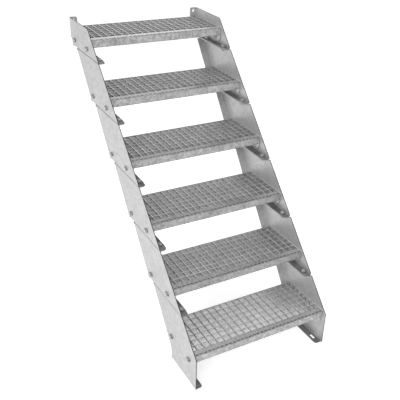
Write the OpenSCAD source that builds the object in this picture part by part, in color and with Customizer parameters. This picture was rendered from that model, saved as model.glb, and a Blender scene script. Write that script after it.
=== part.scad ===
// Six-tread outdoor steel stair: stacked folded stringer modules, grating treads, bolts.
// Millimetres. +X to the right when climbing, +Y the climbing direction, +Z up.
// The origin is the centre of the left foot flange's underside.

/* [Stair] */

// number of treads
treads = 6; // [6:1:6]
// height of the first tread above the floor
first_rise = 156; // [150:1:180]
// height from one tread to the next
rise = 188; // [185:1:200]
// depth from one nosing to the next
run = 184; // [180:1:195]

/* [Tread] */

// length over both end plates
tread_w = 600; // [600:1:1000]
// depth of one tread
tread_d = 240; // [240:1:240]
// mesh pitch both ways
mesh = 30; // [30:1:30]
// bearing bar height
bar_h = 30; // [25:1:40]
// bearing bar thickness
bar_t = 3; // [2:0.5:4]
// cross bar height
cross_h = 10; // [6:1:12]
// cross bar thickness
cross_t = 3; // [1.5:0.5:3]
// width of the nosing's top strip
nose_w = 30; // [20:1:40]
// height of the nosing's front face
nose_h = 32; // [30:1:40]
// nosing sheet thickness
nose_t = 2.5; // [2:0.5:3]
// end plate thickness
end_t = 3; // [3:0.5:5]
// end plate height
end_h = 66; // [60:1:70]

/* [Stringer] */

// stringer sheet thickness
sheet = 3; // [2:0.5:4]
// outer radius of the folds
fold_r = 5; // [4:0.5:8]
// width of the folded flanges, sheet included
flange_w = 33; // [28:1:40]
// how far a module's underside lies below its tread
seam = 74; // [72:1:80]
// how far the wall flange stands above the top tread
top_h = 38; // [30:1:60]

/* [Bolts] */

// bolt radius
bolt_r = 5; // [4:0.5:6]
// half width of the slots
slot_r = 5.5; // [4.5:0.5:7]
// slot length from end to end
slot_l = 30; // [20:1:40]

/* [Hidden] */
$fn = 48;

in_x = tread_w / 2;                 // inner face of a stringer, from the centre plane
out_x = in_x + sheet;               // outer face of a stringer
foot_x = out_x - 17;                // centre line of the flange slots
foot_y = 90;                        // middle of the foot flange
foot_gap = 60;                      // half the distance between the foot slots
bolt_z = -46;                       // tread bolts below the tread
bolt_ys = [45, 195];                // tread bolts behind the nosing
splice_ys = [-42, 108];             // splice bolts behind the nosing of the upper module
wall_y = 247;                       // wall plane behind the top nosing
wall_hole_z = 24;                   // wall hole above the top tread
relief = 10;                        // from a corner to the end of its fold
tip = 14;                           // the same at the sharp rear corner
proud = 0.01;                       // a corner's arc stands out this much, so it crosses its edges

// module outlines in Y and Z, seen from the tread they carry
up = rise - seam;
lean = 3 / 4;                       // how far the rear edges go back for each unit up
front_low = [-82, -seam];
front_high = [front_low[0] + run, up];
rear_low = [223, -seam];
rear_high = [rear_low[0] + lean * rise, up];
base_kink = [-17, -9];
base_front = [-17, -first_rise];
base_rear = [196, -first_rise];
base_bend = [196, up - (rear_high[0] - 196) / lean];
top_front = [23, top_h];
top_rear = [wall_y, top_h];
top_bend = [wall_y, (wall_y - rear_low[0]) / lean - seam];

steel = [0.70, 0.71, 0.72];
mesh_steel = [0.55, 0.56, 0.57];
bolt_steel = [0.62, 0.62, 0.60];

// ---- small helpers ----

function unit(v) = v / norm(v);
function half(a, p, b) = acos(unit(a - p) * unit(b - p)) / 2;

// a convex outline with its corners rounded to the radii rs
module rounded(pts, rs) {
    n = len(pts);
    polygon([for (i = [0 : n - 1], side = [0, 1])
        let (p = pts[i], a = pts[(i + n - 1) % n], b = pts[(i + 1) % n])
        rs[i] == 0 ? p : p + unit((side == 0 ? a : b) - p) * rs[i] / tan(half(a, p, b))]);
    for (i = [0 : n - 1]) if (rs[i] > 0) {
        p = pts[i];
        a = pts[(i + n - 1) % n];
        b = pts[(i + 1) % n];
        translate(p + unit(unit(a - p) + unit(b - p)) * rs[i] / sin(half(a, p, b)))
            circle(rs[i] + proud);
    }
}

// a slot along the second axis
module slot(l, r) {
    square([2 * r, l - 2 * r], center = true);
    for (s = [-1, 1]) translate([0, s * (l / 2 - r)]) circle(r);
}

// the section of a fold: the sheet's outer face on x = 0, the flange's outer face on y = 0
module fold_section() {
    translate([0, fold_r]) square([sheet, 2]);
    translate([fold_r, 0]) square([flange_w - fold_r, sheet]);
    difference() {
        intersection() {
            square(fold_r);
            translate([fold_r, fold_r]) circle(fold_r);
        }
        translate([fold_r, fold_r]) circle(fold_r - sheet);
    }
}

// a flange folded inward along an edge; the corners of its free edge have the radii r0 and r1
module fold(l, r0, r1) {
    difference() {
        translate([0, l, 0]) rotate([90, 0, 0]) linear_extrude(l) fold_section();
        for (c = [[r0, 0], [r1, 1]]) if (c[0] > 0)
            translate([0, c[1] * l, -1]) mirror([0, c[1], 0]) linear_extrude(sheet + 2)
                difference() {
                    translate([flange_w - c[0], -1]) square(c[0] + 1);
                    translate([flange_w - c[0], c[0]]) circle(c[0]);
                }
    }
}

// the place of a fold on a left stringer: start point, direction angle, length and radii
module place(f) {
    translate([-out_x, f[0][0], f[0][1]]) rotate([f[1], 0, 0]) children();
}

// a left module: its flat sheet with the folds let in, and the slots cut
module module_sheet(pts, rs, folds, slots, holes) {
    difference() {
        union() {
            difference() {
                translate([-out_x, 0, 0]) rotate([90, 0, 90]) linear_extrude(sheet) rounded(pts, rs);
                for (f = folds) place(f) translate([-1, 0, -1]) cube([sheet + 2, f[2], fold_r + 1]);
            }
            for (f = folds) place(f) fold(f[2], f[3], f[4]);
        }
        for (y = bolt_ys) translate([-out_x - 1, y, bolt_z]) rotate([90, 0, 90])
            linear_extrude(sheet + 2) rotate(90) slot(slot_l, slot_r);
        for (s = slots) translate([-foot_x, s[0], s[1] - sheet - 1])
            linear_extrude(2 * sheet + 2) slot(slot_l, slot_r);
        for (h = holes) translate([-foot_x, h[0] - sheet - 1, h[1]]) rotate([-90, 0, 0])
            cylinder(h = 2 * sheet + 2, r = slot_r);
    }
}

// a point a distance d along the way from a to b
function along(a, b, d) = a + unit(b - a) * d;
function dir(a, b) = atan2(b[1] - a[1], b[0] - a[0]);

// folds shared by the modules
bottom_fold = [along(front_low, rear_low, 15), 0, rear_low[0] - front_low[0] - 15 - relief, 18, 0];
top_fold = [along(rear_high, front_high, tip), 180, rear_high[0] - front_high[0] - tip - 3, 0, 18];
rear_fold = [along(rear_low, rear_high, relief), dir(rear_low, rear_high),
    norm(rear_high - rear_low) - relief - tip, 0, 0];
splices_low = [for (y = splice_ys) [y, -seam]];
splices_high = [for (y = splice_ys) [y + run, up]];

module middle_module() {
    module_sheet([front_low, rear_low, rear_high, front_high], [5, 4, 4, 3],
        [bottom_fold, rear_fold, top_fold], concat(splices_low, splices_high), []);
}

module base_module() {
    foot_fold = [along(base_front, base_rear, 4), 0, base_rear[0] - base_front[0] - 4 - relief, 12, 0];
    heel_fold = [along(base_rear, base_bend, relief), 90, norm(base_bend - base_rear) - relief - 3, 0, 0];
    back_fold = [along(base_bend, rear_high, 3), dir(base_bend, rear_high),
        norm(rear_high - base_bend) - tip - 3, 0, 0];
    foot_slots = [for (s = [-1, 1]) [foot_y + s * foot_gap, -first_rise]];
    module_sheet([base_front, base_rear, base_bend, rear_high, front_high, base_kink],
        [3, 3, 0, 4, 3, 6], [foot_fold, heel_fold, back_fold, top_fold],
        concat(foot_slots, splices_high), []);
}

module top_module() {
    wall_fold = [along(top_bend, top_rear, 3), 90, norm(top_rear - top_bend) - 3, 0, 8];
    low_fold = [along(rear_low, top_bend, relief), dir(rear_low, top_bend),
        norm(top_bend - rear_low) - relief - 3, 0, 0];
    module_sheet([front_low, rear_low, top_bend, top_rear, top_front], [5, 4, 0, 0, 26],
        [bottom_fold, low_fold, wall_fold], splices_low, [[wall_y, wall_hole_z]]);
}

// the top of tread k above the floor
function tread_z(k) = first_rise + (k - 1) * rise;

// the module that carries tread k
module stringer(k) {
    translate([0, (k - 1) * run, tread_z(k)]) {
        if (k == 1) base_module();
        if (k > 1 && k < treads) middle_module();
        if (k == treads) top_module();
    }
}

// ---- one tread, from its nosing's front top edge ----

module grating() {
    inner = tread_w / 2 - end_t;
    rows = round((tread_d - nose_w) / mesh);
    cells = round(tread_w / mesh);
    translate([0, 0, -cross_h]) linear_extrude(cross_h)
        for (i = [1 : cells - 1]) translate([-tread_w / 2 + i * mesh - cross_t / 2, nose_w])
            square([cross_t, tread_d - nose_w]);
    translate([0, 0, -bar_h]) linear_extrude(bar_h)
        for (j = [1 : rows]) translate([-inner, nose_w + j * mesh - bar_t])
            square([2 * inner, bar_t]);
}

module nosing() {
    inner = tread_w / 2 - end_t;
    translate([-inner, 0, 0]) rotate([90, 0, 90]) linear_extrude(2 * inner) union() {
        translate([0, -nose_t]) square([nose_w, nose_t]);
        translate([0, -nose_h]) square([nose_t, nose_h]);
        translate([nose_w - nose_t, -bar_h]) square([nose_t, bar_h]);
    }
}

module end_plate() {
    translate([-tread_w / 2, 0, 0]) rotate([90, 0, 90]) linear_extrude(end_t) difference() {
        polygon([[0, -nose_h], [0, 0], [tread_d, 0], [tread_d, -end_h + 32],
            [tread_d - 30, -end_h], [14, -end_h]]);
        for (y = bolt_ys) translate([y, bolt_z]) circle(slot_r);
    }
}

module at_tread(k) {
    translate([0, (k - 1) * run, tread_z(k)]) children();
}

// ---- bolts: head and washer on one side, nut and washer on the other ----

module bolt(grip, out) {
    head_h = 6.4;
    nut_h = 8;
    washer_h = 2;
    across = 17 / cos(30);
    tail = 3;
    translate([0, 0, -out]) cylinder(h = out + grip + nut_h + tail, r = bolt_r);
    translate([0, 0, -washer_h]) cylinder(h = washer_h, r = 10);
    translate([0, 0, -washer_h - head_h]) cylinder(h = head_h, d = across, $fn = 6);
    translate([0, 0, grip]) cylinder(h = nut_h, d = across, $fn = 6);
}

module tread_bolts() {
    for (k = [1 : treads], y = bolt_ys)
        translate([-out_x, (k - 1) * run + y, tread_z(k) + bolt_z]) rotate([0, 90, 0])
            bolt(sheet + end_t, 2);
}

module splice_bolts() {
    for (k = [2 : treads], y = splice_ys)
        translate([-foot_x, (k - 1) * run + y, tread_z(k) - seam + sheet]) rotate([180, 0, 0])
            bolt(2 * sheet, 2);
}

// ---- nodes ----

module placed() {
    translate([foot_x, -foot_y, 0]) children();
}
module left(c) {
    color(c) placed() children();
}
module right(c) {
    color(c) placed() mirror([1, 0, 0]) children();
}

module left_base_stringer() { left(steel) stringer(1); }
module right_base_stringer() { right(steel) stringer(1); }
module left_stringer_2() { left(steel) stringer(2); }
module right_stringer_2() { right(steel) stringer(2); }
module left_stringer_3() { left(steel) stringer(3); }
module right_stringer_3() { right(steel) stringer(3); }
module left_stringer_4() { left(steel) stringer(4); }
module right_stringer_4() { right(steel) stringer(4); }
module left_stringer_5() { left(steel) stringer(5); }
module right_stringer_5() { right(steel) stringer(5); }
module left_top_stringer() { left(steel) stringer(6); }
module right_top_stringer() { right(steel) stringer(6); }

module tread_grating(k) { color(mesh_steel) placed() at_tread(k) grating(); }
module tread_nosing(k) { color(steel) placed() at_tread(k) nosing(); }
module tread_end_plates(k) {
    color(steel) placed() at_tread(k) {
        end_plate();
        mirror([1, 0, 0]) end_plate();
    }
}
module tread_1_grating() { tread_grating(1); }
module tread_2_grating() { tread_grating(2); }
module tread_3_grating() { tread_grating(3); }
module tread_4_grating() { tread_grating(4); }
module tread_5_grating() { tread_grating(5); }
module tread_6_grating() { tread_grating(6); }
module tread_1_nosing() { tread_nosing(1); }
module tread_2_nosing() { tread_nosing(2); }
module tread_3_nosing() { tread_nosing(3); }
module tread_4_nosing() { tread_nosing(4); }
module tread_5_nosing() { tread_nosing(5); }
module tread_6_nosing() { tread_nosing(6); }
module tread_1_end_plates() { tread_end_plates(1); }
module tread_2_end_plates() { tread_end_plates(2); }
module tread_3_end_plates() { tread_end_plates(3); }
module tread_4_end_plates() { tread_end_plates(4); }
module tread_5_end_plates() { tread_end_plates(5); }
module tread_6_end_plates() { tread_end_plates(6); }

module left_tread_bolts() { left(bolt_steel) tread_bolts(); }
module right_tread_bolts() { right(bolt_steel) tread_bolts(); }
module left_splice_bolts() { left(bolt_steel) splice_bolts(); }
module right_splice_bolts() { right(bolt_steel) splice_bolts(); }

left_base_stringer();
right_base_stringer();
left_stringer_2();
right_stringer_2();
left_stringer_3();
right_stringer_3();
left_stringer_4();
right_stringer_4();
left_stringer_5();
right_stringer_5();
left_top_stringer();
right_top_stringer();
tread_1_grating();
tread_1_nosing();
tread_1_end_plates();
tread_2_grating();
tread_2_nosing();
tread_2_end_plates();
tread_3_grating();
tread_3_nosing();
tread_3_end_plates();
tread_4_grating();
tread_4_nosing();
tread_4_end_plates();
tread_5_grating();
tread_5_nosing();
tread_5_end_plates();
tread_6_grating();
tread_6_nosing();
tread_6_end_plates();
left_tread_bolts();
right_tread_bolts();
left_splice_bolts();
right_splice_bolts();
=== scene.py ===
# %% [markdown]
# # A galvanised steel garden stair
# Six grating treads hang between two stringers. Each stringer is a stack of folded sheet modules,
# one for each tread, bolted flange on flange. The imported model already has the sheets, bars and
# bolts at their real size. This file gives them their zinc, makes the pieces that need finer forms
# (punched nosings, bolts with threads, weld beads), and sets the light and the camera.

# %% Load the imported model
import math

import bmesh
import bpy
from mathutils import Matrix, Vector


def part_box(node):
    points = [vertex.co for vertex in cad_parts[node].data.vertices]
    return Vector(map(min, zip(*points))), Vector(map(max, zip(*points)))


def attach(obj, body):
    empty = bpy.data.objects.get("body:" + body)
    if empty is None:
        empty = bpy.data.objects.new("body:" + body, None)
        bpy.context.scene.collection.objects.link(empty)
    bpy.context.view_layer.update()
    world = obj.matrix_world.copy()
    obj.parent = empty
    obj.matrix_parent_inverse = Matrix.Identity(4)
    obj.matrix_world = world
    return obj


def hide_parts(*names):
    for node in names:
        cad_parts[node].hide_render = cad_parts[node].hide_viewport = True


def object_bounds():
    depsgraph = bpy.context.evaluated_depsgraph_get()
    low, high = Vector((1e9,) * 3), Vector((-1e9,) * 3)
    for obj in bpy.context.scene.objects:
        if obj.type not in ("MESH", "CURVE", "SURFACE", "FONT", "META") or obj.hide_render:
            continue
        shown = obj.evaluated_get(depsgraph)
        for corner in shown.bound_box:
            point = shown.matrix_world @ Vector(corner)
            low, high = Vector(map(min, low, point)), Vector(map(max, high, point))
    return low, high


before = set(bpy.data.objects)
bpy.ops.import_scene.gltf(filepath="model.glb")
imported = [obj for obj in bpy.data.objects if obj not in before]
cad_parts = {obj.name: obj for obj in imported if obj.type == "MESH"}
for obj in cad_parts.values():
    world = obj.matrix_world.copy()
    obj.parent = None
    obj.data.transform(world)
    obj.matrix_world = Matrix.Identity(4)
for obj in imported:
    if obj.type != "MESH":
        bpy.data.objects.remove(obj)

cad_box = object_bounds()
MM = 0.001
TREADS = 6
print("CAD box", [[round(v, 4) for v in corner] for corner in cad_box])

# %% [markdown]
# ## Places
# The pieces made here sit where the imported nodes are. The treads are all alike, so one tread's
# corner and the step from one tread to the next say where everything is. Both come from the boxes
# of the first two nosings, and what belongs to a tread is then placed from that tread's corner.

# %% Measure the treads
nose_low, nose_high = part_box("tread_1_nosing")
second_low, second_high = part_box("tread_2_nosing")
RUN = second_low[1] - nose_low[1]
RISE = second_high[2] - nose_high[2]
CENTRE_X = (nose_low[0] + nose_high[0]) / 2
NOSE_LENGTH = nose_high[0] - nose_low[0]
NOSE_WIDTH = nose_high[1] - nose_low[1]
NOSE_HEIGHT = nose_high[2] - nose_low[2]
print("run", round(RUN, 4), "rise", round(RISE, 4), "nosing", round(NOSE_LENGTH, 4))


def tread_corner(k):
    """The middle of tread k's front top edge."""
    return Vector((CENTRE_X, nose_low[1] + (k - 1) * RUN, nose_high[2] + (k - 1) * RISE))


# %% [markdown]
# ## Camera
# The stair is seen from the left of its foot and from above. A camera needs three directions: to
# the right, up, and towards the viewer. They are worked out here from a turn (yaw), a look down
# (pitch) and a small tilt (roll), and put together as one matrix. The lens is shifted by a tenth of
# the frame, which moves the stair in the frame without turning the camera.

# %% Camera
CAMERA_PLACE = Vector((-0.864, -1.686, 1.787))
YAW = math.radians(32.6)
PITCH = math.radians(31.6)
ROLL = math.radians(3.2)
right = Vector((math.cos(YAW), -math.sin(YAW), 0))
level_ahead = math.cos(PITCH)
forward = Vector((math.sin(YAW) * level_ahead, math.cos(YAW) * level_ahead, -math.sin(PITCH)))
upward = right.cross(forward)
tilted_right = math.cos(ROLL) * right + math.sin(ROLL) * upward
tilted_up = math.cos(ROLL) * upward - math.sin(ROLL) * right
turned = Matrix((tilted_right, tilted_up, -forward)).transposed().to_4x4()
lens = bpy.data.cameras.new("stair_camera")
lens.sensor_width = 36
lens.lens = 57.7
lens.shift_x = -0.10
lens.shift_y = 0.10
camera = bpy.data.objects.new("stair_camera", lens)
camera.matrix_world = Matrix.Translation(CAMERA_PLACE) @ turned
bpy.context.scene.collection.objects.link(camera)
bpy.context.scene.camera = camera
print("camera looks", [round(v, 3) for v in forward])

# %% [markdown]
# ## Helpers for materials
# A material is a small graph of nodes. One helper adds any node, sets its values and links its
# inputs, so each material below reads as a list of what it is made of. Most inputs go by their
# name. Where a node has several of one name, as Mix and Math have, they go by number: i0, i1 and so
# on. Colours are written as hex numbers, as a paint chart gives them, and turned to the linear
# values that the renderer counts in.


# %% Colour and node helpers
def linear(hex_colour):
    """A hex colour as linear RGBA, by the sRGB curve: a straight foot, then a power."""
    parts = [int(hex_colour[i:i + 2], 16) / 255 for i in (1, 3, 5)]
    return [p / 12.92 if p <= 0.04045 else ((p + 0.055) / 1.055) ** 2.4 for p in parts] + [1]


def add(tree, kind, settings=None, **inputs):
    """Adds one node. settings are its properties; inputs are values or sockets to link."""
    node = tree.nodes.new("ShaderNode" + kind)
    for name, value in (settings or {}).items():
        setattr(node, name, value)
    for name, value in inputs.items():
        numbered = name[0] == "i" and name[1:].isdigit()
        socket = node.inputs[int(name[1:]) if numbered else name.replace("_", " ")]
        if isinstance(value, bpy.types.NodeSocket):
            tree.links.new(value, socket)
        else:
            socket.default_value = value
    return node


def new_material(name):
    """A material whose graph is still empty."""
    material = bpy.data.materials.new(name)
    material.use_nodes = True
    tree = material.node_tree
    tree.nodes.clear()
    return material, tree


def ramp(tree, factor, stops):
    """A colour ramp from (place, hex colour) pairs."""
    node = add(tree, "ValToRGB", Fac=factor)
    elements = node.color_ramp.elements
    while len(elements) < len(stops):
        elements.new(0.5)
    for element, (place, colour) in zip(elements, stops):
        element.position = place
        element.color = linear(colour)
    return node.outputs["Color"]


print("#808080 is", round(linear("#808080")[0], 3), "of full light")

# %% [markdown]
# ## The zinc's tones
# The stair's steel is dipped in molten zinc after it is cut, folded and welded. Zinc freezes in
# crystals, the spangle: flat patches some 5 to 12 mm wide, each a little lighter or darker than the
# next. Outdoors it soon turns matt, with cloudy patches nearly a hand wide, and faint runs stay
# where the zinc drained. Voronoi cells give the crystals, because each cell has one colour. Two
# sizes of noise give the clouds and the grain, and noise stretched downwards gives the runs.

# %% Tones of the zinc
CLOUD = 71.4 * MM
RUN_WIDTH = 16.67 * MM
RUN_LENGTH = 200 * MM
GRAIN = 2.38 * MM  # the real grain is finer; at this size it still shows
CRYSTAL_SHARE = 0.55
GRAIN_SHARE = 0.18


def zinc_tones(tree, place, crystal, streaks):
    """The zinc's tone from 0, dark, to 1, light, and three of the patterns that it is mixed from."""
    cells = add(tree, "TexVoronoi", {"feature": "F1"}, Vector=place, Scale=1 / crystal, Randomness=1.0)
    crystals = add(tree, "RGBToBW", Color=cells.outputs["Color"]).outputs["Val"]
    clouds = add(tree, "TexNoise", Vector=place, Scale=1 / CLOUD, Detail=5.0, Roughness=0.6).outputs["Fac"]
    grain = add(tree, "TexNoise", Vector=place, Scale=1 / GRAIN, Detail=3.0, Roughness=0.7).outputs["Fac"]
    drain = add(tree, "Mapping", Vector=place, Scale=(1 / RUN_WIDTH, 1 / RUN_WIDTH, 1 / RUN_LENGTH))
    runs = add(tree, "TexNoise", Vector=drain.outputs["Vector"], Scale=1.0, Detail=3.0).outputs["Fac"]
    shares = [(CRYSTAL_SHARE, crystals), (streaks * 0.5, runs), (GRAIN_SHARE, grain)]
    tone = clouds
    for share, pattern in shares:
        tone = add(tree, "Mix", {"data_type": "FLOAT"}, i0=share, i2=tone, i3=pattern).outputs["Result"]
    return tone, crystals, clouds, grain


print("crystals take", CRYSTAL_SHARE, "of the tone, grain", GRAIN_SHARE)

# %% [markdown]
# ## Darker edges, and painted light and shade on level faces
# Edges are painted a darker grey. The Bevel node gives the normal as if the
# edges were round, so where it turns away from the face's flat normal, an edge is near. Level faces
# get painted light and shade: painted shade on a sheet's flanges, where the treads above would shade
# them, and painted light on the bars' tops, as light from above makes them. There the flat normal's Z
# is close to 1. Both masks are broken up by patches, so that the darker edges and the painted light
# and shade come and go.

# %% Masks for edges and level faces
EDGE_REACH = 4.5 * MM


# Edges get a darker grey painted on them through this mask.
def darker_edges(tree, flat, patches):
    """A mask that is strongest at the edges."""
    rounded = add(tree, "Bevel", {"samples": 4}, Radius=EDGE_REACH).outputs["Normal"]
    same = add(tree, "VectorMath", {"operation": "DOT_PRODUCT"}, i0=rounded, i1=flat).outputs["Value"]
    edge = add(tree, "MapRange", Value=same, From_Min=1.0, From_Max=0.86, To_Min=0.0, To_Max=0.85)
    darkened = add(tree, "Math", {"operation": "MULTIPLY"}, i0=edge.outputs["Result"], i1=patches)
    return darkened.outputs["Value"]


# This mask puts painted shade on the sheets' level faces and painted light on the gratings' tops.
def facing_up(tree, flat, patches, share):
    """A mask of up to share on the faces that look up."""
    upright = add(tree, "SeparateXYZ", Vector=flat).outputs["Z"]
    level = add(tree, "MapRange", Value=upright, From_Min=0.85, From_Max=0.97, To_Min=0.0, To_Max=share)
    painted_top = add(tree, "Math", {"operation": "MULTIPLY"}, i0=level.outputs["Result"], i1=patches)
    return painted_top.outputs["Value"]


print("edges wear within", round(EDGE_REACH / MM, 1), "mm")

# %% [markdown]
# ## Cut edges
# The upright sheets' cut edges are painted dark grey, a dark line round each sheet. The sheets stand
# outside the treads' ends, and their faces look
# sideways, so the mask is what lies that far from the stair's middle and doesn't look sideways.

# %% Mask for cut edges
SHEET_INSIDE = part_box("tread_1_end_plates")[1][0] - CENTRE_X
MASK_BLUR = 0.3 * MM


# The sheets' cut edges get a dark grey painted on them through this mask.
def cut_edges(tree, place, flat, share):
    """A mask of up to share on the upright sheets' cut edges."""
    across = add(tree, "SeparateXYZ", Vector=place).outputs["X"]
    away = add(tree, "Math", {"operation": "SUBTRACT"}, i0=across, i1=CENTRE_X).outputs["Value"]
    away = add(tree, "Math", {"operation": "ABSOLUTE"}, i0=away).outputs["Value"]
    in_sheet = add(tree, "MapRange", Value=away, From_Min=SHEET_INSIDE - MASK_BLUR, From_Max=SHEET_INSIDE,
                   To_Min=0.0, To_Max=share)
    sideways = add(tree, "SeparateXYZ", Vector=flat).outputs["X"]
    sideways = add(tree, "Math", {"operation": "ABSOLUTE"}, i0=sideways).outputs["Value"]
    edgeways = add(tree, "MapRange", Value=sideways, From_Min=0.2, From_Max=0.7, To_Min=1.0, To_Max=0.0)
    edge_line = add(tree, "Math", {"operation": "MULTIPLY"}, i0=in_sheet.outputs["Result"],
               i1=edgeways.outputs["Result"])
    return edge_line.outputs["Value"]


print("sheets start", round(SHEET_INSIDE, 4), "from the middle")

# %% [markdown]
# ## One recipe for galvanised steel
# Every zinc here is the same recipe with other numbers: the greys, the crystals' width, the gloss,
# and what its level faces and cut edges look like. A material with neither of these gets no nodes
# for them. The light crystals are the glossier ones, and a faint bump from the crystals and the
# grain makes the highlights uneven.

# %% Galvanised steel
# The darker grey painted along edges.
EDGE_GREY = "#5c5c5c"
# The dark grey painted on the sheets' cut edges.
CUT_EDGE_GREY = "#3a3a3a"
TONE_STOPS = (0.30, 0.50, 0.70)
DARK_ROUGHER = 0.10
LIGHT_SMOOTHER = 0.08
RELIEF = 0.6 * MM
RELIEF_GRAIN = 0.35


def galvanised(name, greys, crystal, roughness, metallic=0.75, streaks=0.35, tops=None, cut=0.0):
    """Zinc on steel. greys are its dark, middle and light tones, and crystal is the spangle's width.
    tops are the colour, share and metallic value painted as light or shade on faces that look up. cut is
    the share of dark grey painted on cut edges."""
    material, tree = new_material(name)
    place = add(tree, "TexCoord").outputs["Object"]
    flat = add(tree, "NewGeometry").outputs["True Normal"]
    tone, crystals, clouds, grain = zinc_tones(tree, place, crystal, streaks)
    patches = add(tree, "MapRange", Value=clouds, From_Min=0.35, From_Max=0.65, To_Min=0.6, To_Max=1.0)
    patches = patches.outputs["Result"]
    colour = ramp(tree, tone, list(zip(TONE_STOPS, greys)))
    coats = [(darker_edges(tree, flat, patches), EDGE_GREY)]
    metal = metallic
    # Faces that look up get the painted colour in tops: shade on the sheets, light on the gratings.
    if tops:
        top_colour, top_share, top_metal = tops
        painted_top = facing_up(tree, flat, patches, top_share)
        coats.append((painted_top, top_colour))
        metal = add(tree, "MapRange", Value=painted_top, From_Min=0.0, From_Max=1.0, To_Min=metallic,
                    To_Max=top_metal).outputs["Result"]
    # The sheets' cut edges get their painted dark grey here.
    if cut:
        coats.append((cut_edges(tree, place, flat, cut), CUT_EDGE_GREY))
    for mask, coat in coats:
        colour = add(tree, "Mix", {"data_type": "RGBA"}, i0=mask, i6=colour, i7=linear(coat)).outputs[2]
    dull = add(tree, "MapRange", Value=tone, From_Min=0.3, From_Max=0.7,
               To_Min=roughness + DARK_ROUGHER, To_Max=roughness - LIGHT_SMOOTHER)
    relief = add(tree, "Mix", {"data_type": "FLOAT"}, i0=RELIEF_GRAIN, i2=crystals, i3=grain)
    bump = add(tree, "Bump", Strength=0.12, Distance=RELIEF, Height=relief.outputs["Result"])
    shader = add(tree, "BsdfPrincipled", Base_Color=colour, Metallic=metal,
                 Roughness=dull.outputs["Result"], Normal=bump.outputs["Normal"])
    add(tree, "OutputMaterial", Surface=shader.outputs["BSDF"])
    return material


print("the zinc's relief is", round(RELIEF / MM, 1), "mm")

# %% [markdown]
# ## Sheet, grating and nosing zinc
# The folded sheets are the mattest, pale and even, with painted shade on their flanges, where the
# treads above would shade them, and dark grey painted on their cut edges. The gratings are brighter,
# and their tops are painted nearly white, as light from above makes them; the painted tops are less
# metallic. The nosings are a darker, more clouded grey, apart from their tops, which are painted light,
# as light from above makes them, and are the brightest and smoothest metal here.

# %% Zincs of the dipped pieces
# Painted shade on the sheets' flanges and other faces that look up.
SHEET_TOP_SHADE = ("#4e4e4d", 0.85, 0.2)
# Painted light on the gratings' tops, as light from above makes them.
GRATING_TOP_LIGHT = ("#f4f4f4", 1.0, 0.35)
SHEET_ZINC = galvanised("hot_dip_galvanised_sheet", ("#c0c0c0", "#c8c8c8", "#cecece"), 11 * MM,
                        0.44, metallic=0.55, streaks=0.25, tops=SHEET_TOP_SHADE, cut=0.95)
GRATING_ZINC = galvanised("hot_dip_galvanised_grating", ("#bebebe", "#cecece", "#dadada"), 7 * MM,
                          0.36, metallic=0.75, streaks=0.2, tops=GRATING_TOP_LIGHT)
NOSING_ZINC = galvanised("hot_dip_galvanised_punched_nosing", ("#969696", "#b0b0b0", "#c6c6c6"),
                         9 * MM, 0.42, metallic=0.65)
# The nosings' tops are painted light, as light from above makes them.
NOSING_TOP_LIGHT_ZINC = galvanised("nosing_tops_painted_light", ("#cecece", "#e2e2e2", "#eeeeee"), 6 * MM,
                          0.30, metallic=0.95)
print("materials", [m.name for m in bpy.data.materials])

# %% [markdown]
# ## Painted shade in the slots
# The punched slots and the hollow under them are painted nearly black: painted shade, as they lie in
# shadow. The painted shade has no gloss: it is a rough non-metal, with lighter grains.

# %% Painted slot shade
# The grain size of the painted shade in the slots.
SHADE_GRAIN = 1.11 * MM  # coarser than real grit, so that it shows


def painted_slot_shade():
    """Painted shade: dark, with lighter grains."""
    material, tree = new_material("painted_shade_in_slots")
    place = add(tree, "TexCoord").outputs["Object"]
    grains = add(tree, "TexNoise", Vector=place, Scale=1 / SHADE_GRAIN, Detail=4.0).outputs["Fac"]
    colour = ramp(tree, grains, [(0.35, "#1f1e1d"), (0.65, "#454341")])
    bump = add(tree, "Bump", Strength=0.3, Distance=0.5 * MM, Height=grains)
    shader = add(tree, "BsdfPrincipled", Base_Color=colour, Roughness=0.9, Normal=bump.outputs["Normal"])
    add(tree, "OutputMaterial", Surface=shader.outputs["BSDF"])
    return material


SLOT_SHADE = painted_slot_shade()
print("dirt grains", round(SHADE_GRAIN / MM, 2), "mm")

# %% [markdown]
# ## Zinc-plated bolts and weld beads
# Bolts are plated in a bath, which leaves a thinner and brighter zinc than dipping does, with a
# slight blue tone and hardly any runs. The weld beads on the end plates are dipped with the tread.
# The zinc pools round them, so they are darker and duller than the bars, with small crystals.

# %% Zincs of bolts and beads
BOLT_ZINC = galvanised("bright_zinc_plated_bolts", ("#a6a8aa", "#c6c8ca", "#dcdee0"), 4 * MM, 0.36,
                       metallic=0.7, streaks=0.1)
BEAD_ZINC = galvanised("zinc_over_weld_beads", ("#848484", "#a0a0a0", "#b4b4b4"), 3 * MM, 0.55)
print("all materials", len(bpy.data.materials))

# %% [markdown]
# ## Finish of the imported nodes
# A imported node's shape stays as it is, and only the material in its slot is changed. The gratings
# and their end plates get the grating's zinc, and all else gets the sheet's. That includes the
# plain nosings and bolts, which the finer pieces made below will hide.

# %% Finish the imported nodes
for name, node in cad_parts.items():
    zinc = GRATING_ZINC if "grating" in name or "end_plates" in name else SHEET_ZINC
    node.data.materials.clear()
    node.data.materials.append(zinc)
print("finished", len(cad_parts), "nodes")

# %% [markdown]
# ## Helpers for pieces
# A bmesh is a mesh being worked on. One helper turns a finished bmesh into an object that stands at
# the origin, with its normals facing outwards and its flat faces kept flat. Every piece rides on
# the stair's one body. A second helper puts a copy of a
# shape where it belongs, so that a shape that repeats is made once. The third rounds edges.

# %% Piece helpers
TINY = 0.001 * MM


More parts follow.
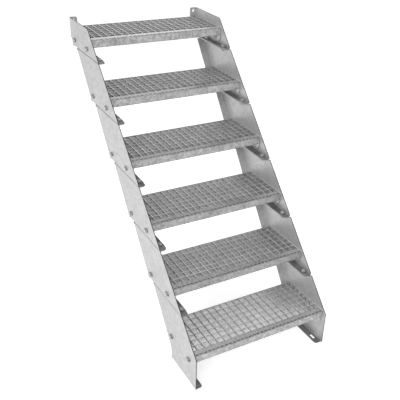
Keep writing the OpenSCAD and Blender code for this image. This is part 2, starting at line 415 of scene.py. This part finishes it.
def finish_piece(bm, name, materials, replaced=()):
    """Makes an object of a bmesh and attaches it to the stair's body."""
    bmesh.ops.remove_doubles(bm, verts=bm.verts, dist=TINY)
    bmesh.ops.recalc_face_normals(bm, faces=bm.faces)
    mesh = bpy.data.meshes.new(name)
    bm.to_mesh(mesh)
    bm.free()
    for material in materials:
        mesh.materials.append(material)
    piece = bpy.data.objects.new(name, mesh)
    bpy.context.scene.collection.objects.link(piece)
    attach(piece, "root")
    if replaced:
        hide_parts(*replaced)


def copy_to(bm, source, matrix):
    """Adds the shape in source to bm, moved by matrix."""
    mesh = bpy.data.meshes.new("part")
    source.to_mesh(mesh)
    before = len(bm.verts)
    bm.from_mesh(mesh)
    bm.verts.ensure_lookup_table()
    bmesh.ops.transform(bm, matrix=matrix, verts=bm.verts[before:])
    bpy.data.meshes.remove(mesh)


def soften(bm, edges, width, segments=2):
    """Rounds edges by a width in metres."""
    bmesh.ops.bevel(bm, geom=list(edges), offset=width, offset_type="OFFSET", segments=segments,
                    profile=0.5, affect="EDGES", clamp_overlap=True, material=-1)


print("points closer than", TINY, "m are merged")

# %% [markdown]
# ## Punched strip of the nosing
# The front of each tread is a strip of sheet with a row of punched slots, whose edges bite into a
# shoe's sole. The slots could be cut out of a solid by booleans, but planes do it more cleanly: one
# flat face is cut along the slots' sides, the faces inside the slots are deleted, and the rest is
# extruded to the sheet's thickness. The front edge is rounded last, as the bend that it is.

# %% Punched strip
SHEET = 2.5 * MM
BEND = 1.6 * MM
SLOT_COUNT = 33
SLOT_PITCH = NOSE_LENGTH / SLOT_COUNT
SLOT_LENGTH = SLOT_PITCH * 0.66
SLOT_WIDTH = 3.0 * MM
SLOT_ROW = 5.0 * MM


def cut_along(bm, point, normal):
    """Cuts all faces along a plane."""
    geometry = bm.verts[:] + bm.edges[:] + bm.faces[:]
    bmesh.ops.bisect_plane(bm, geom=geometry, plane_co=point, plane_no=normal, dist=TINY / 10)


def in_slot(face):
    """True for a face of the cut strip that lies inside a slot."""
    centre = face.calc_center_median()
    off_slot = abs((centre.x + NOSE_LENGTH / 2) / SLOT_PITCH % 1 - 0.5) * SLOT_PITCH
    return abs(centre.y - SLOT_ROW) < SLOT_WIDTH / 2 and off_slot < SLOT_LENGTH / 2


def punched_strip():
    """The top strip from the nosing's front edge, top face at height 0, slots cut through."""
    bm = bmesh.new()
    bmesh.ops.create_grid(bm, x_segments=1, y_segments=1, size=0.5)
    bmesh.ops.scale(bm, vec=(NOSE_LENGTH, NOSE_WIDTH, 1), verts=bm.verts)
    bmesh.ops.translate(bm, vec=(0, NOSE_WIDTH / 2, 0), verts=bm.verts)
    for i in range(SLOT_COUNT):
        slot_middle = -NOSE_LENGTH / 2 + (i + 0.5) * SLOT_PITCH
        for side in (-1, 1):
            cut_along(bm, (slot_middle + side * SLOT_LENGTH / 2, 0, 0), (1, 0, 0))
    for side in (-1, 1):
        cut_along(bm, (0, SLOT_ROW + side * SLOT_WIDTH / 2, 0), (0, 1, 0))
    bmesh.ops.delete(bm, geom=[face for face in bm.faces if in_slot(face)], context="FACES")
    grown = bmesh.ops.extrude_face_region(bm, geom=bm.faces[:])
    lower = [item for item in grown["geom"] if isinstance(item, bmesh.types.BMVert)]
    bmesh.ops.translate(bm, vec=(0, 0, -SHEET), verts=lower)
    bend = [e for e in bm.edges if all(v.co.y < TINY and v.co.z > -TINY for v in e.verts)]
    soften(bm, bend, BEND, 3)
    return bm


strip = punched_strip()
print("faces in a strip", len(strip.faces))

# %% [markdown]
# ## Lips of the nosing
# The strip's front and rear edges are folded down, which keeps it stiff. Each lip is a strip of its
# own, from the first one's underside down, and the rear one reaches as deep as the nosing is wide.
# It is a cube that is scaled to size, with its lower edges rounded a little, as the zinc leaves them.

# %% Lips
LIP_EDGE = 0.9 * MM


def lip(depth, place_y):
    """An upright strip under the top strip, down to depth."""
    bm = bmesh.new()
    bmesh.ops.create_cube(bm, size=1)
    bmesh.ops.scale(bm, vec=(NOSE_LENGTH, SHEET, depth - SHEET), verts=bm.verts)
    bmesh.ops.translate(bm, vec=(0, place_y, -(depth + SHEET) / 2), verts=bm.verts)
    long_edges = [e for e in bm.edges if abs((e.verts[0].co - e.verts[1].co).x) > NOSE_LENGTH / 2]
    soften(bm, [e for e in long_edges if e.verts[0].co.z < -depth + SHEET / 2], LIP_EDGE)
    return bm


front_lip = lip(NOSE_HEIGHT, SHEET / 2)
rear_lip = lip(NOSE_WIDTH, NOSE_WIDTH - SHEET / 2)
print("front lip", round(NOSE_HEIGHT / MM, 1), "mm, rear lip", round(NOSE_WIDTH / MM, 1), "mm")

# %% [markdown]
# ## Nosings
# A nosing has three finishes. A mesh holds them as a list, and each face has the number of its own.
# The number comes from where the face is: on top it is zinc painted light, in the slots and the hollow
# under them it is painted shade, and outside on the lips it is the plain zinc.

# %% Nosings
NOSING_FINISHES = [NOSING_ZINC, NOSING_TOP_LIGHT_ZINC, SLOT_SHADE]
TOP_DEPTH = 0.1 * MM
SHADE_FRONT = 0.5 * MM
SHADE_REAR = 1.5 * MM
SHADE_DEPTH = 1.0 * MM


def nosing_finish(centre):
    """The finish of a face, from its centre's place behind and under the front top edge."""
    # Top faces get the zinc with painted light.
    if centre.z > -TOP_DEPTH:
        return NOSING_TOP_LIGHT_ZINC
    # Faces in the slots and the hollow under them get the painted shade.
    if SHADE_FRONT < centre.y < NOSE_WIDTH - SHADE_REAR and centre.z < -SHADE_DEPTH:
        return SLOT_SHADE
    return NOSING_ZINC


for k in range(1, TREADS + 1):
    corner = tread_corner(k)
    nosing = bmesh.new()
    for part in (strip, front_lip, rear_lip):
        copy_to(nosing, part, Matrix.Translation(corner))
    for face in nosing.faces:
        finish = nosing_finish(face.calc_center_median() - corner)
        face.material_index = NOSING_FINISHES.index(finish)
    finish_piece(nosing, f"punched_nosing_{k}", NOSING_FINISHES,
                 [f"tread_{k}_nosing"])
print("faces in a nosing", len(strip.faces) + len(front_lip.faces) + len(rear_lip.faces))

# %% [markdown]
# ## Heads, nuts and washers
# A bolt head and a nut are six-sided prisms with rounded rims: a cone with six sides and equal ends,
# turned by half a side. A washer and a shank are the same with 24 sides. The bolts are M10, so they
# are 10 mm thick, and 17 mm across the head's flat sides.

# %% Hexagons and discs
SHANK = 5 * MM
ACROSS = 17 * MM
HALF_SIDE = math.radians(30)
HEX_RIM = 1.1 * MM
DISC_RIM = 0.35 * MM
SHARP = math.radians(60)


def prism(sides, radius, height):
    """A straight prism from height 0 up."""
    bm = bmesh.new()
    bmesh.ops.create_cone(bm, cap_ends=True, segments=sides, radius1=radius, radius2=radius, depth=height)
    bmesh.ops.translate(bm, vec=(0, 0, height / 2), verts=bm.verts)
    return bm


def hexagon(height, both_rims):
    """A six-sided prism with its upper rim rounded, or both."""
    bm = prism(6, ACROSS / 2 / math.cos(HALF_SIDE), height)
    bmesh.ops.rotate(bm, cent=(0, 0, 0), matrix=Matrix.Rotation(HALF_SIDE, 3, "Z"), verts=bm.verts)
    rims = [e for e in bm.edges if all(v.co.z > height * 0.9 for v in e.verts)]
    if both_rims:
        rims += [e for e in bm.edges if all(v.co.z < height * 0.1 for v in e.verts)]
    soften(bm, rims, HEX_RIM)
    return bm


def disc(radius, height):
    """A round washer or shank with its rims rounded."""
    bm = prism(24, radius, height)
    rims = [e for e in bm.edges if e.calc_face_angle(0) > SHARP]
    soften(bm, rims, DISC_RIM, 1)
    return bm


print("bolt", round(2 * SHANK / MM), "mm thick,", round(ACROSS / MM), "mm across")

# %% [markdown]
# ## A whole bolt
# From the head up, a bolt is a washer, a shank, a nut and a threaded end. The thread is a small
# profile spun about the shank while it climbs, which bmesh's spin does when it is given a step along
# its axis. It is only made where it shows, past the nut.

# %% Thread and bolt
THREAD_PITCH = 1.5 * MM
THREAD_LENGTH = 4 * MM
HEAD = 6.4 * MM
NUT = 8 * MM
WASHER = 2 * MM
WASHER_RADIUS = 10 * MM
TAIL = 3 * MM
CORE = SHANK - 0.6 * MM
GRIP = 6 * MM


def thread():
    """A ridge that winds up the shank's end."""
    bm = bmesh.new()
    turns = int(THREAD_LENGTH / THREAD_PITCH)
    root = SHANK - 0.9 * MM
    half = 0.45 * THREAD_PITCH
    profile = [bm.verts.new(point) for point in ((root, 0, -half), (SHANK, 0, 0), (root, 0, half))]
    edges = [bm.edges.new(profile[:2]), bm.edges.new(profile[1:])]
    steps = 16 * turns
    bmesh.ops.spin(bm, geom=profile + edges, cent=(0, 0, 0), axis=(0, 0, 1), angle=2 * math.pi * turns,
                   steps=steps, dvec=(0, 0, THREAD_LENGTH / steps))
    return bm


def whole_bolt():
    """Head at the bottom, nut above the grip; the clamped sheets lie between 0 and GRIP."""
    bm = bmesh.new()
    under = Matrix.Translation((0, 0, -WASHER))
    copy_to(bm, hexagon(HEAD, False), under @ Matrix.Rotation(math.pi, 4, "X"))
    copy_to(bm, disc(WASHER_RADIUS, WASHER), under)
    copy_to(bm, disc(CORE, GRIP + WASHER + NUT + TAIL), under)
    copy_to(bm, hexagon(NUT, True), Matrix.Translation((0, 0, GRIP)))
    copy_to(bm, thread(), Matrix.Translation((0, 0, GRIP + NUT - THREAD_PITCH)))
    return bm


bolt = whole_bolt()
print("faces in a bolt", len(bolt.faces))

# %% [markdown]
# ## Bolts in place
# Two bolts hold each end of a tread: they lie across, with their heads outside and their nuts
# inside the stringer. Two more clamp each pair of stacked flanges, with their heads up. All tread
# bolts on one side are one piece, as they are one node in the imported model, and so are all splice
# bolts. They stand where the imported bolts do, at set distances from a tread's corner.

# %% Set the bolts in place
FACE_X = CENTRE_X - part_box("left_base_stringer")[0][0]
FLANGE_LINE = 17 * MM
TREAD_BOLTS = [(45 * MM, -46 * MM), (195 * MM, -46 * MM)]
SPLICE_BOLTS = [(-42 * MM, -71 * MM), (108 * MM, -71 * MM)]
HEAD_UP = Matrix.Rotation(math.pi, 4, "X")


def bolt_set(name, replaced, treads, places, x, turn):
    """One piece of all the bolts that hold the given treads, at (y, z) places from their corners."""
    bolts = bmesh.new()
    for k in treads:
        for y, z in places:
            copy_to(bolts, bolt, Matrix.Translation(tread_corner(k) + Vector((x, y, z))) @ turn)
    finish_piece(bolts, name, [BOLT_ZINC], [replaced])


for side, side_name in ((-1, "left"), (1, "right")):
    inward = Matrix.Rotation(math.radians(-90 * side), 4, "Y")
    bolt_set(f"{side_name}_tread_bolt_set", f"{side_name}_tread_bolts", range(1, TREADS + 1),
             TREAD_BOLTS, side * FACE_X, inward)
    bolt_set(f"{side_name}_splice_bolt_set", f"{side_name}_splice_bolts", range(2, TREADS + 1),
             SPLICE_BOLTS, side * (FACE_X - FLANGE_LINE), HEAD_UP)
    print(side_name, "bolts set")

# %% [markdown]
# ## Weld beads
# Each bearing bar is welded to the end plates with a short bead. A bead is a row of small frozen
# puddles, so three flattened spheres that overlap are enough. They stay light, with 60 faces each,
# because they are repeated at both ends of every bar.

# %% Beads
BAR_PITCH = 30 * MM
BAR_COUNT = 7
BAR_THICK = 3 * MM
PUDDLE = (2.3 * MM, 3.0 * MM, 3.4 * MM)
PUDDLES = [(-13 * MM, 0.95), (-18 * MM, 1.1), (-23 * MM, 1.0)]


def bead():
    """Three overlapping puddles, one above the other, each with its height and its size."""
    bm = bmesh.new()
    for z, size in PUDDLES:
        puddle = bmesh.ops.create_uvsphere(bm, u_segments=10, v_segments=6, radius=1)
        bmesh.ops.scale(bm, vec=[half * size for half in PUDDLE], verts=puddle["verts"])
        bmesh.ops.translate(bm, vec=(0, 0, z), verts=puddle["verts"])
    return bm


one_bead = bead()
for k in range(1, TREADS + 1):
    beads = bmesh.new()
    for j in range(1, BAR_COUNT + 1):
        for side in (-1, 1):
            spot = Vector((side * NOSE_LENGTH / 2, NOSE_WIDTH + j * BAR_PITCH - BAR_THICK / 2, 0))
            copy_to(beads, one_bead, Matrix.Translation(tread_corner(k) + spot))
    finish_piece(beads, f"weld_beads_{k}", [BEAD_ZINC])
print("beads", BAR_COUNT * 2 * TREADS)

# %% [markdown]
# ## Floor
# The floor is a plain plane that takes the stair's shadow. It is far wider than the stair, so that
# its edge never shows, and it lies half a millimetre lower than the feet, because two faces at one
# height flicker.

# %% Floor
FLOOR_SIZE = 40.0
FLOOR_GAP = 0.5 * MM
floor_shape = bmesh.new()
bmesh.ops.create_grid(floor_shape, x_segments=1, y_segments=1, size=FLOOR_SIZE / 2)
bmesh.ops.translate(floor_shape, vec=(CENTRE_X, 0, cad_box[0][2] - FLOOR_GAP), verts=floor_shape.verts)
floor_mesh = bpy.data.meshes.new("studio_floor")
floor_shape.to_mesh(floor_mesh)
floor_shape.free()
floor = bpy.data.objects.new("studio_floor", floor_mesh)
bpy.context.scene.collection.objects.link(floor)
print("floor at", round(floor_mesh.vertices[0].co.z, 5))

# %% [markdown]
# ## Floor paint
# The floor is painted a pale matt white. It also glows, but Light Path shows the glow only to the
# camera and to mirrored or transmitted rays. So it reads as a white studio floor, also as seen in
# the steel, and the lamps can stay at a plain level.

# %% Floor paint
FLOOR_GLOW = 0.50


def seen_by(tree, *kinds):
    """1 for the named kinds of ray and 0 for the others."""
    path = add(tree, "LightPath")
    seen = path.outputs[f"Is {kinds[0]} Ray"]
    for kind in kinds[1:]:
        more = path.outputs[f"Is {kind} Ray"]
        seen = add(tree, "Math", {"operation": "MAXIMUM"}, i0=seen, i1=more).outputs["Value"]
    return seen


paint, tree = new_material("matt_white_studio_floor")
matt = add(tree, "BsdfDiffuse", Color=linear("#f6f6f6"), Roughness=0.6)
glow = add(tree, "Emission", Color=linear("#ffffff"), Strength=FLOOR_GLOW)
none = add(tree, "Emission", Strength=0.0)
shown = add(tree, "MixShader", i0=seen_by(tree, "Camera", "Glossy", "Transmission"),
            i1=none.outputs["Emission"], i2=glow.outputs["Emission"])
both = add(tree, "AddShader", i0=matt.outputs["BSDF"], i1=shown.outputs["Shader"])
add(tree, "OutputMaterial", Surface=both.outputs["Shader"])
floor_mesh.materials.append(paint)
print("the floor glows at", FLOOR_GLOW)

# %% [markdown]
# ## Lamps
# Two large soft lamps light the stair. The one at its front left is the stronger. It leaves the
# outer faces light and the inner faces of the far stringer in half shade. The other hangs above and
# a little behind, and lights the treads. A large lamp gives soft shadows, as an overcast sky does.


# %% Lamps
def soft_lamp(name, place, target, size, power):
    """A square area lamp that points at a target."""
    data = bpy.data.lights.new(name, "AREA")
    data.shape = "SQUARE"
    data.size = size
    data.energy = power
    lamp = bpy.data.objects.new(name, data)
    aim = (target - place).to_track_quat("-Z", "Y")
    lamp.matrix_world = Matrix.Translation(place) @ aim.to_matrix().to_4x4()
    bpy.context.scene.collection.objects.link(lamp)


LAMP_SIZE = 2.4
TO_LEFT_LAMP = Vector((-2.6, -2.2, 1.2))
TO_TOP_LAMP = Vector((0.3, 0.5, 3.0))
middle = Vector([(low + high) / 2 for low, high in zip(*cad_box)])
middle.x = CENTRE_X
soft_lamp("left_lamp", middle + TO_LEFT_LAMP, middle, LAMP_SIZE, power=50)
soft_lamp("top_lamp", middle + TO_TOP_LAMP, middle, LAMP_SIZE, power=30)

# %% [markdown]
# ## World
# The world is the room round the stair, and it looks different to different rays. The camera sees
# it white. The steel's reflections see white walls too, but a dimmer ceiling, so that faces that
# look up don't all turn white. To all other rays it is an even, half bright fill for the shadows.

# %% World
FILL = 0.55
CEILING = 0.4
world = bpy.data.worlds.new("studio_world")
world.use_nodes = True
bpy.context.scene.world = world
tree = world.node_tree
tree.nodes.clear()
heading = add(tree, "TexCoord").outputs["Generated"]
height = add(tree, "SeparateXYZ", Vector=heading).outputs["Z"]
mirrored = add(tree, "MapRange", Value=height, From_Min=0.25, From_Max=0.60, To_Min=1.0, To_Max=CEILING)
unseen = add(tree, "Mix", {"data_type": "FLOAT"}, i0=seen_by(tree, "Glossy"), i2=FILL,
             i3=mirrored.outputs["Result"])
level = add(tree, "Mix", {"data_type": "FLOAT"}, i0=seen_by(tree, "Camera", "Transmission"),
            i2=unseen.outputs["Result"], i3=1.0)
room = add(tree, "Background", Color=linear("#ffffff"), Strength=level.outputs["Result"])
add(tree, "OutputWorld", Surface=room.outputs["Background"])
bpy.context.scene.view_settings.view_transform = "Standard"
print("fill", FILL, "ceiling", CEILING)
